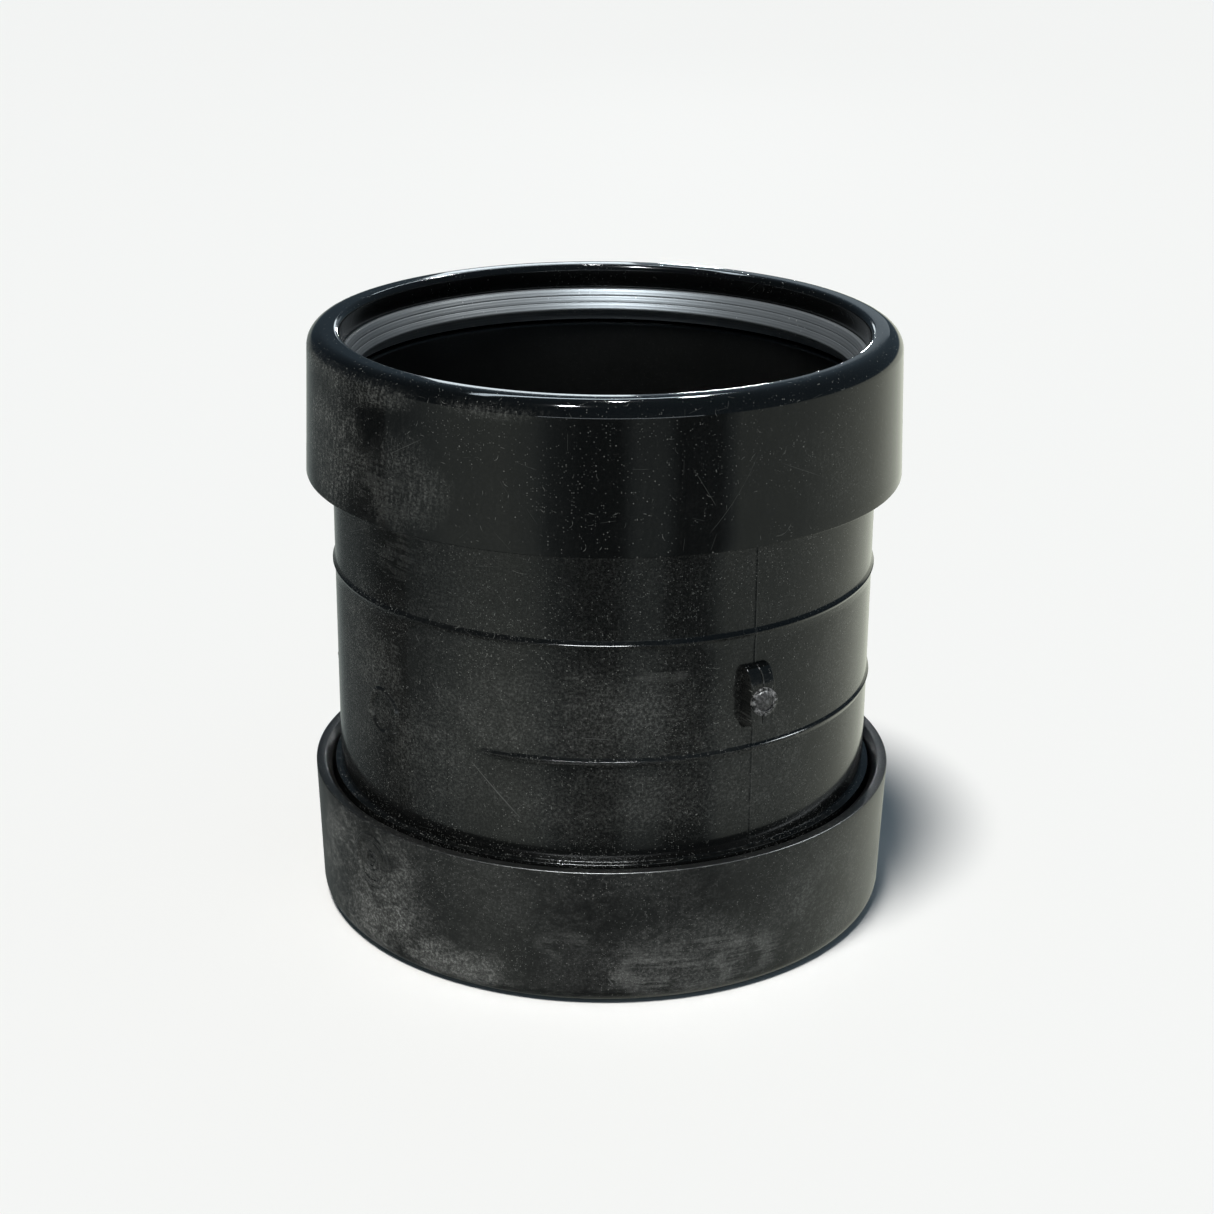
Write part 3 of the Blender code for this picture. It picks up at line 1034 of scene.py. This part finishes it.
# %% Looks of the three mouldings
barrel_finish = black_upvc("satin_black_upvc", {
    "colour": (0.0030, 0.0033, 0.0032), "roughness": 0.075, "mottle": 0.05, "grain": 0.10,
    "film": {"Scale": 50.0, "Stretch": 1.6, "Turn": 0.3, "Low": 0.40, "High": 0.66},
    "everywhere": 0.205, "strength": 0.62, "gritty": 0.80, "cloudy": 0.62, "foot": 33.0,
    "patches": [(-150, 62, 18, 24, 0.42), (-128, 48, 14, 14, 0.30), (-98, 62, 36, 12, 0.32),
                (-84, 44, 40, 8, 0.25), (-62, 50, 24, 16, 0.24), (-30, 60, 14, 26, 0.20),
                (60, 60, 60, 30, 0.5)],
    "rubs": [(-136, 92, 18, 8, 0.3), (-78, 71, 9, 2, 0.35)],
    "gouges_and_sheen": [(-111.5, 44.6, 9.0, 0.20, 1.0, 44), (-91, 58, 4.5, 0.09, 0.8, 3),
               # The last line lies along the mould seam: a pale strip of painted sheen where the seam's
               # slight tilt catches light.
               (-58.3, 64, 0.13, 42, 0.55)],
    "specks": 0.15, "lint": 0.10, "scratches": 0.25, "wear": 0.34, "bright": 1.0})
upper_finish = black_upvc("polished_black_upvc", {
    "colour": (0.0022, 0.0025, 0.0026), "roughness": 0.045, "mottle": 0.03, "grain": 0.02,
    "film": {"Scale": 36.0, "Stretch": 6.0, "Turn": 0.10, "Low": 0.44, "High": 0.60},
    "everywhere": 0.05, "strength": 0.55, "gritty": 0.85, "cloudy": 0.75,
    "patches": [(-152, 110, 18, 16, 0.95), (-129, 108, 13, 12, 0.50), (-142, 126, 20, 5, 0.8),
                (-165, 127, 14, 5, 0.9), (-110, 127, 14, 3, 0.4), (-30, 112, 30, 14, 0.15),
                (100, 112, 60, 14, 0.5)],
    "rubs": [(-134, 106, 12, 10, 0.30)],
    "gouges_and_sheen": [(-52, 112, 7, 0.07, 0.7, 25), (-128, 116, 6, 0.07, 0.8, -30)],
    "specks": 0.058, "lint": 0.14, "scratches": 0.18, "wear": 0.15, "bright": 0.8})
lower_finish = black_upvc("dusty_black_upvc", {
    "colour": (0.0042, 0.0045, 0.0042), "roughness": 0.26, "mottle": 0.10, "grain": 0.12,
    "film": {"Scale": 62.0, "Stretch": 1.4, "Turn": 1.2, "Low": 0.42, "High": 0.60},
    "everywhere": 0.19, "strength": 0.80, "gritty": 0.76, "cloudy": 0.75,
    "patches": [(-146, 14, 24, 20, 1.0), (-120, 5, 18, 6, 0.7), (-74, 10, 22, 11, 0.30),
                (-30, 14, 30, 14, 0.40), (80, 14, 80, 14, 0.8)],
    "rubs": [(-71, 8, 26, 9, 0.62), (-96, 14, 8, 5, 0.3)],
    "gouges_and_sheen": [(-88, 5.5, 1.6, 0.18, 1.0, 60)],
    "specks": 0.18, "lint": 0.08, "scratches": 0.25, "wear": 0.45, "bright": 0.9})

# %% [markdown]
# ## Seal rubber and torn plastic
# The seal is a dark grey rubber with a broad soft shine. Its grain is finer and its dust thinner than
# on the plastic. The torn sprue shows fresh, paler plastic that sparkles, and its dome, which was
# pulled and not torn, is smoother and darker. The dome's grey is still far paler than the moulding:
# partly pulled plastic, and partly painted sheen for the broad highlight on its round top.

# %% Seal rubber and torn plastic
def seal_rubber():
    material, tree, shader, spot = new_material("grey_seal_rubber")
    cloud = noise_of(tree, spot, 90.0, 5.0)
    dots = use(tree, "dust_specks", Vector=skin_of(tree), Scale=1100.0, Share=0.06, Size=0.28)["Mask"]
    rings = put(tree, "TexWave", {"wave_type": "BANDS", "bands_direction": "Z"}, Vector=spot, Scale=520.0,
                Distortion=0.6, Detail=2.0).outputs[1]
    grey = blend_colours(tree, added(tree, rings, 0.5, times(tree, cloud, 0.5)),
                         (0.075, 0.084, 0.090, 1.0), (0.125, 0.136, 0.144, 1.0))
    join(tree, shader["Base Color"], blend_colours(tree, dots, grey, (0.4, 0.4, 0.39, 1.0)))
    join(tree, shader["Roughness"], added(tree, cloud, 0.10, 0.42))
    shader["Specular IOR Level"].default_value = 0.8
    grain = added(tree, rings, 0.8, noise_of(tree, spot, 1800.0, 3.0))
    bumped(tree, shader, 0.35, 0.05 * MM, grain)
    return material


def torn_upvc(name, dark, pale, depth):
    material, tree, shader, spot = new_material(name)
    chips = noise_of(tree, spot, 1300.0, 5.0, 0.7)
    share = fade(tree, chips, 0.45, 0.68)
    join(tree, shader["Base Color"],
         blend_colours(tree, share, (dark, dark, dark, 1.0), (pale, pale, pale, 1.0)))
    join(tree, shader["Roughness"], added(tree, share, 0.35, 0.25))
    bumped(tree, shader, 0.8, depth, chips)
    return material


seal_finish = seal_rubber()
torn_finish = torn_upvc("torn_black_upvc", dark=0.015, pale=0.34, depth=0.12 * MM)
# The dome's pale grey is partly painted sheen, for the broad highlight on its round top.
pulled_sheen_finish = torn_upvc("pulled_upvc_painted_sheen", dark=0.045, pale=0.15, depth=0.04 * MM)

# %% [markdown]
# ## Putting the finishes on
# Each piece takes its finish by the body that it rides on, apart from the torn sprue.

# %% Assign the finishes
BODY_FINISH = {"barrel": barrel_finish, "upper_cap": upper_finish, "lower_cap": lower_finish,
               "upper_seal": seal_finish, "lower_seal": seal_finish}
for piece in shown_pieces():
    piece.data.materials.clear()
    piece.data.materials.append(BODY_FINISH[piece["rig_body"]])
sprue_dome.data.materials[0] = pulled_sheen_finish
sprue_collar.data.materials[0] = torn_finish
print("finishes:", sorted(material.name for material in bpy.data.materials))

# %% [markdown]
# ## Floor
# The floor is plain, pale, wide and dull. It rides with the lower cap, which stands on it, so the cap
# isn't buried when it is pulled off downwards.

# %% Floor
floor_mesh = bmesh.new()
bmesh.ops.create_grid(floor_mesh, x_segments=1, y_segments=1, size=30.0)
floor_data = bpy.data.meshes.new("floor")
floor_mesh.to_mesh(floor_data)
floor_mesh.free()
floor = in_scene("floor", floor_data)
floor_finish = bpy.data.materials.new("pale_floor")
floor_finish.use_nodes = True
floor_shader = floor_finish.node_tree.nodes["Principled BSDF"].inputs
floor_shader["Base Color"].default_value = (0.90, 0.90, 0.89, 1.0)
floor_shader["Roughness"].default_value = 0.9
floor_shader["Specular IOR Level"].default_value = 0.1
floor_data.materials.append(floor_finish)
floor.visible_glossy = False
floor.parent = frame["bodies"]["lower_cap"]

# %% [markdown]
# ## Lamps
# The key light is a soft sun, high and on the left, and it lights everything but shows in no gloss. The
# other lamps do the opposite: they only show in gloss. The glints stand small on the cap's lip. Some
# lamps light a few named pieces alone, so that a bead or a rim gets its bright line without washing
# out the walls beside it.

# %% Lamps
MIDDLE = Vector((0.0, 0.0, HEIGHT / 2))
SUN_TURN, SUN_RISE, SUN_WIDTH, SUN_STRENGTH = -121, 73, math.radians(12), 3.15
SUN_COLOUR = (1.0, 0.985, 0.96)
WHITE, PALE, CLEAR = (0.95, 0.99, 1.0), (0.95, 0.98, 1.0), (0.86, 0.95, 1.0)
low_edges = (lower_bead, lower_cap, round_mark, sprue_dome, sprue_collar)
seals = (upper_seal, lower_seal)
LAMPS = (
    # name, degrees round and up, metres away, width, depth, watts, colour, roll, pieces that it lights
    ("glint", -119, 72, 1.6, 0.09, 0.09, 14.0, PALE, 0, ()),
    ("glint_middle", 86, 68, 1.4, 0.04, 0.04, 2.0, PALE, 0, ()),
    ("glint_right", 82, 42, 1.4, 0.04, 0.04, 2.0, PALE, 0, ()),
    ("sky_strip", 102, 51, 1.4, 1.25, 0.08, 2.6, (0.80, 0.93, 1.0), 49, (upper_cap,)),
    ("edge_light", -97, 74, 1.4, 0.55, 0.30, 60.0, WHITE, 0, low_edges),
    ("bead_light", -95, 72, 1.4, 0.45, 0.30, 30.0, WHITE, 0, (barrel,)),
    ("rim_light", 18, 44, 1.4, 0.6, 0.35, 26.0, (0.90, 0.97, 1.0), 0, low_edges),
    ("lug_light", -142, 50, 1.4, 0.4, 0.4, 24.0, WHITE, 0, (lug_left, lug_right)),
    ("glint_inner", 87, 8.6, 1.4, 0.05, 0.05, 1.2, PALE, 0, ()),
    ("back_window", 92.3, 15.5, 1.4, 0.15, 0.12, 0.17, CLEAR, 0, ()),
    ("back_glow", 84, 14, 1.4, 0.35, 0.14, 0.06, (0.80, 0.92, 1.0), 0, ()),
    ("low_strip", -84, 4, 1.4, 1.6, 0.05, 1.2, CLEAR, 0, ()),
    ("seal_light", -97, 48, 1.2, 0.28, 0.25, 52.0, (0.82, 0.93, 1.0), 0, seals),
    ("seal_fill", -10, 48, 1.2, 0.6, 0.3, 14.0, (0.92, 0.98, 1.0), 0, seals),
)


def towards(turn, rise):
    """The direction that is so many degrees round from +X, and so many up."""
    turn, rise = math.radians(turn), math.radians(rise)
    return Vector((math.cos(rise) * math.cos(turn), math.cos(rise) * math.sin(turn), math.sin(rise)))


def new_light(name, kind, way, strength, colour):
    light = in_scene(name, bpy.data.lights.new(name, kind))
    light.data.energy = strength
    light.data.color = colour
    light.rotation_mode = "QUATERNION"
    light.rotation_quaternion = way.to_track_quat("Z", "Y")
    return light


def gloss_lamp(name, turn, rise, away, width, depth, watts, colour, roll, lit_pieces):
    """A rectangular lamp that faces the coupling and only shows in gloss."""
    way = towards(turn, rise)
    light = new_light(name, "AREA", way, watts, colour)
    light.data.shape = "RECTANGLE"
    light.data.size, light.data.size_y = width, depth
    light.location = MIDDLE + way * away
    light.rotation_quaternion @= Quaternion((0.0, 0.0, 1.0), math.radians(roll))
    light.visible_camera = light.visible_diffuse = False
    if lit_pieces:
        lit = bpy.data.collections.new(name + "_lights")
        for piece in lit_pieces:
            lit.objects.link(piece)
        light.light_linking.receiver_collection = lit


sun = new_light("key", "SUN", towards(SUN_TURN, SUN_RISE), SUN_STRENGTH, SUN_COLOUR)
sun.data.angle = SUN_WIDTH
sun.visible_glossy = False
for row in LAMPS:
    gloss_lamp(*row)
print("lamps:", len(LAMPS) + 1)

# %% [markdown]
# ## Surround
# Gloss needs something to mirror. An upright wall seen from above mirrors what lies below the horizon,
# so the surround has a ring of brighter and darker panels there, and those give the walls their upright
# bands. Straight down it gets darker. Overhead it is a dim blue sky, brighter on the right, which tints
# the rounded lips. The camera itself sees a plain pale background.

# %% Surround
world = bpy.data.worlds.new("surround")
world.use_nodes = True
bpy.context.scene.world = world
world.cycles.sampling_method = "NONE"
sky = world.node_tree
sky.nodes.clear()
way_out = put(sky, "TexCoord").outputs["Generated"]

# degrees round: how bright the panel is
PANELS = [(-172, 0.15), (-150, 0.40), (-128, 0.46), (-117, 0.38), (-109, 0.16), (-98, 0.06), (-84, 0.06),
          (-78, 0.26), (-68, 0.26), (-62, 0.06), (-46, 0.08), (-38, 0.42), (-11, 0.44), (14, 0.56),
          (34, 0.66), (48, 0.80), (70, 0.92), (100, 0.4), (125, 0.13), (146, 0.13), (166, 0.04)]
PANEL_PEAK = 2.5
DIM_PANEL_TINT, BRIGHT_PANEL_TINT = (0.86, 1.0, 1.0, 1.0), (0.96, 1.0, 0.86, 1.0)
SKY_LEFT, SKY_RIGHT = (0.028, 0.042, 0.056, 1.0), (0.080, 0.115, 0.145, 1.0)
BACKGROUND = (0.95, 0.95, 0.94, 1.0)

around = put(sky, "TexGradient", {"gradient_type": "RADIAL"}, Vector=way_out).outputs[1]
ramp = put(sky, "ValToRGB", Fac=around)
for number, (turn, brightness) in enumerate(PANELS):
    place = (turn + 180) / 360
    stop = ramp.color_ramp.elements[0] if number == 0 else ramp.color_ramp.elements.new(place)
    stop.position = place
    stop.color = (*(brightness / PANEL_PEAK,) * 3, 1.0)
ramp.color_ramp.elements.remove(ramp.color_ramp.elements[-1])
sideways, _, rise = parts_of(sky, way_out)
shade = added(sky, fade(sky, rise, -0.55, -0.85), -0.65, 1.0)
tint = blend_colours(sky, fade(sky, ramp.outputs[0], 0.02, 0.30), DIM_PANEL_TINT, BRIGHT_PANEL_TINT)
panels = vectors(sky, "MULTIPLY", scaled(sky, ramp.outputs[0], PANEL_PEAK), tint)
ground = scaled(sky, panels, shade)
overhead = blend_colours(sky, fade(sky, sideways, -0.7, 0.2), SKY_LEFT, SKY_RIGHT)
surround = blend_colours(sky, fade(sky, rise, -0.03, 0.06), ground, overhead)
shown = put(sky, "Background", Color=BACKGROUND).outputs[0]
mirrored = put(sky, "Background", Color=surround).outputs[0]
seen = put(sky, "LightPath").outputs["Is Camera Ray"]
pick = put_in_order(sky, "MixShader", {}, (seen, mirrored, shown), range(3))
join(sky, put(sky, "OutputWorld").inputs["Surface"], pick.outputs[0])
bpy.context.scene.view_settings.view_transform = "Standard"
